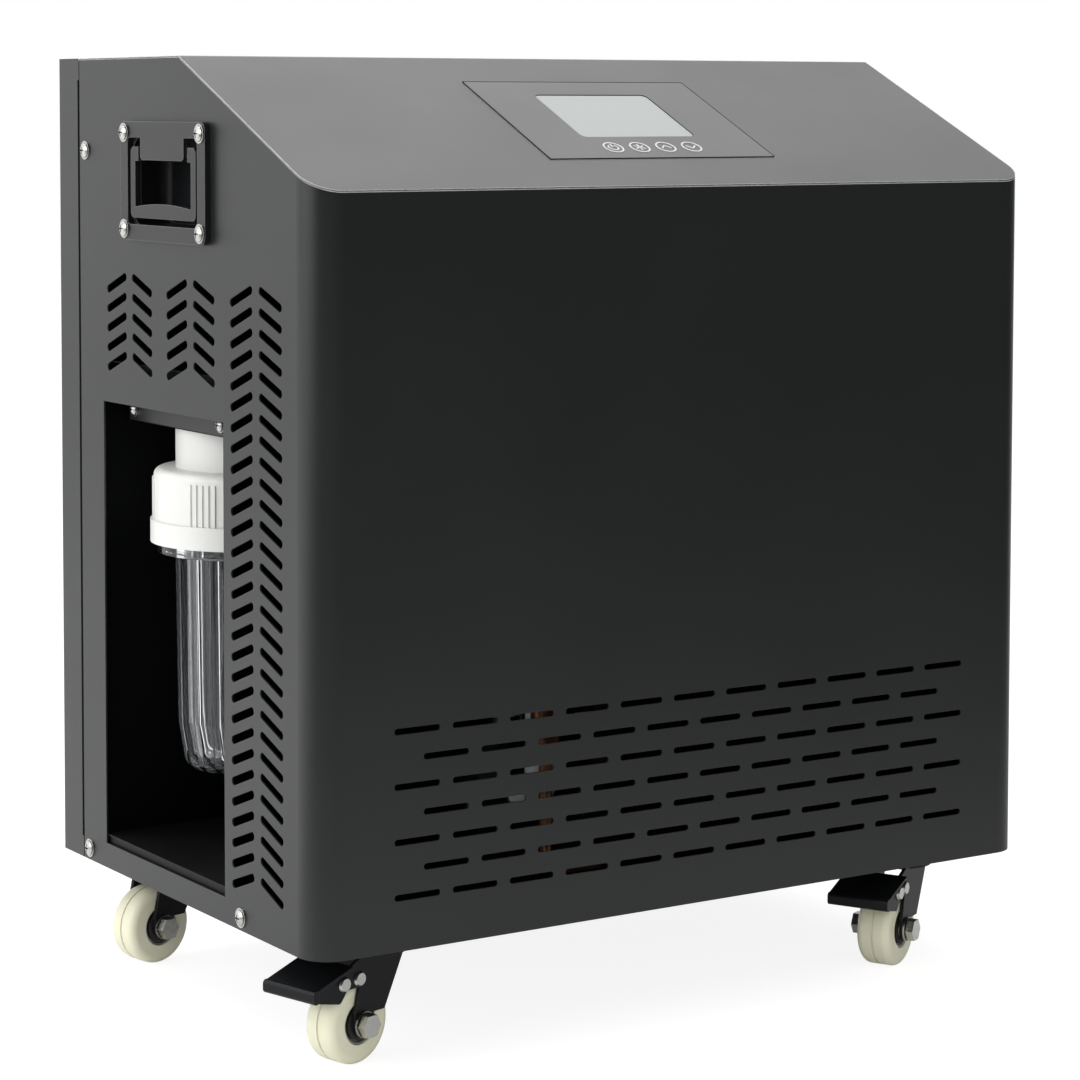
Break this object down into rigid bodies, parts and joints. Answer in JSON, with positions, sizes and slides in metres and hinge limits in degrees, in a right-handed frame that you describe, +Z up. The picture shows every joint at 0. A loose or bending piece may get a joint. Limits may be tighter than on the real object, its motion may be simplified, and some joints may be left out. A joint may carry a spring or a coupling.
{
  "type": "ice bath chiller",
  "caption": "Sheet steel chiller cabinet on braked casters, sloped control top, side filter window, folding handles and slotted vents.",
  "frame": {"origin": "middle of the footprint on the floor", "axes": "+X right seen from the wide front, front faces -Y, +Z up"},
  "size_m": [0.556, 0.3728, 0.6],
  "materials": {
    "case_black": "satin powder coat",
    "chassis_steel": "satin black",
    "panel_black": "satin film",
    "display_grey": "clear window over a pale display",
    "key_white": "printed",
    "zinc": "zinc plated",
    "handle_black": "satin black",
    "bracket_steel": "brushed",
    "filter_white": "moulded",
    "bowl_clear": "clear moulded plastic",
    "rubber_black": "matt",
    "machine_black": "gloss black",
    "fin_aluminium": "mill finish",
    "copper": "bright copper",
    "fan_plastic": "matt",
    "caster_black": "satin black",
    "foam_black": "insulation foam",
    "hose_white": "satin",
    "port_plastic": "moulded",
    "inlet_plastic": "matt",
    "nylon_ivory": "moulded nylon"
  },
  "bodies": {
    "root": {"wrap_shell": "case_black", "top_cover": "case_black", "back_panel": "case_black", "base_tray": "chassis_steel", "filter_bay_liner": "chassis_steel", "filter_bay_floor": "chassis_steel", "control_panel": "panel_black", "display_window": "display_grey", "touch_keys": "key_white", "control_box": "chassis_steel", "case_screws": "zinc", "handle_plate_left": "handle_black", "handle_plate_right": "handle_black", "handle_screws": "zinc", "filter_bracket": "bracket_steel", "bracket_screws": "zinc", "filter_head": "filter_white", "compressor": "machine_black", "compressor_feet": "rubber_black", "condenser_fins": "fin_aluminium", "condenser_tubes": "copper", "fan_ring": "chassis_steel", "fan_motor": "machine_black", "fan_guard": "caster_black", "heat_exchanger": "foam_black", "pump_body": "machine_black", "pump_motor": "machine_black", "refrigerant_lines": "copper", "filter_drier": "copper", "inlet_pipe": "hose_white", "water_hoses": "hose_white", "electrics_box": "chassis_steel", "water_inlet_fitting": "port_plastic", "water_outlet_fitting": "port_plastic", "power_inlet": "inlet_plastic", "switch_frame": "inlet_plastic", "caster_plates": "caster_black", "caster_bolts": "zinc"},
    "bail_left": {"handle_bail_left": "handle_black"},
    "bail_right": {"handle_bail_right": "handle_black"},
    "fan_rotor": {"fan_blades": "fan_plastic"},
    "filter_insert": {"bowl_seal": "rubber_black"},
    "bowl": {"filter_bowl": "bowl_clear"},
    "rocker": {"power_switch": "inlet_plastic"},
    "fork_fl": {"caster_fork_fl": "caster_black", "caster_axle_fl": "zinc"},
    "wheel_fl": {"caster_wheel_fl": "nylon_ivory"},
    "fork_fr": {"caster_fork_fr": "caster_black", "caster_axle_fr": "zinc"},
    "wheel_fr": {"caster_wheel_fr": "nylon_ivory"},
    "fork_rl": {"caster_fork_rl": "caster_black", "caster_axle_rl": "zinc"},
    "wheel_rl": {"caster_wheel_rl": "nylon_ivory"},
    "fork_rr": {"caster_fork_rr": "caster_black", "caster_axle_rr": "zinc"},
    "wheel_rr": {"caster_wheel_rr": "nylon_ivory"},
    "pedal_fl": {"brake_pedal_fl": "caster_black"},
    "pedal_fr": {"brake_pedal_fr": "caster_black"}
  },
  "joints": [
    {"name": "bail_left_fold", "type": "hinge", "parent": "root", "child": "bail_left", "pos_m": [-0.2688, -0.0004, 0.54045], "axis": [0, 1, 0], "range_deg": [0, 90]},
    {"name": "bail_right_fold", "type": "hinge", "parent": "root", "child": "bail_right", "pos_m": [0.2688, -0.0004, 0.54045], "axis": [0, -1, 0], "range_deg": [0, 90]},
    {"name": "swivel_fl", "type": "hinge", "parent": "root", "child": "fork_fl", "pos_m": [-0.205, -0.135, 0.066], "axis": [0, 0, 1], "continuous": true},
    {"name": "roll_fl", "type": "hinge", "parent": "fork_fl", "child": "wheel_fl", "pos_m": [-0.22519, -0.14079, 0.025], "axis": [0.2756, -0.9613, 0], "continuous": true},
    {"name": "swivel_fr", "type": "hinge", "parent": "root", "child": "fork_fr", "pos_m": [0.205, -0.135, 0.066], "axis": [0, 0, 1], "continuous": true},
    {"name": "roll_fr", "type": "hinge", "parent": "fork_fr", "child": "wheel_fr", "pos_m": [0.18646, -0.14486, 0.025], "axis": [0.4695, -0.8829, 0], "continuous": true},
    {"name": "swivel_rl", "type": "hinge", "parent": "root", "child": "fork_rl", "pos_m": [-0.205, 0.125, 0.066], "axis": [0, 0, 1], "continuous": true},
    {"name": "roll_rl", "type": "hinge", "parent": "fork_rl", "child": "wheel_rl", "pos_m": [-0.22546, 0.12028, 0.025], "axis": [0.225, -0.9744, 0], "continuous": true},
    {"name": "swivel_rr", "type": "hinge", "parent": "root", "child": "fork_rr", "pos_m": [0.205, 0.125, 0.066], "axis": [0, 0, 1], "continuous": true},
    {"name": "roll_rr", "type": "hinge", "parent": "fork_rr", "child": "wheel_rr", "pos_m": [0.18527, 0.11782, 0.025], "axis": [0.342, -0.9397, 0], "continuous": true},
    {"name": "brake_fl", "type": "hinge", "parent": "fork_fl", "child": "pedal_fl", "pos_m": [-0.24383, -0.14614, 0.0535], "axis": [0.2756, -0.9613, 0], "range_deg": [0, 20]},
    {"name": "brake_fr", "type": "hinge", "parent": "fork_fr", "child": "pedal_fr", "pos_m": [0.16933, -0.15397, 0.0535], "axis": [0.4695, -0.8829, 0], "range_deg": [0, 20]},
    {"name": "fan_spin", "type": "hinge", "parent": "root", "child": "fan_rotor", "pos_m": [0.125, 0.119, 0.364], "axis": [0, 1, 0], "continuous": true},
    {"name": "cartridge_drop", "type": "slide", "parent": "root", "child": "filter_insert", "axis": [0, 0, -1], "range_m": [0, 0.0105]},
    {"name": "bowl_unscrew", "type": "hinge", "parent": "filter_insert", "child": "bowl", "pos_m": [-0.201, 0.0265, 0.214], "axis": [0, 0, -1], "range_deg": [0, 720]},
    {"name": "power_rocker", "type": "hinge", "parent": "root", "child": "rocker", "pos_m": [-0.211, 0.1555, 0.514], "axis": [-1, 0, 0], "range_deg": [0, 16]}
  ],
  "couplings": [
    {"joint": "cartridge_drop", "follows": "bowl_unscrew", "m_per_rad": 0.00079577}
  ]
}
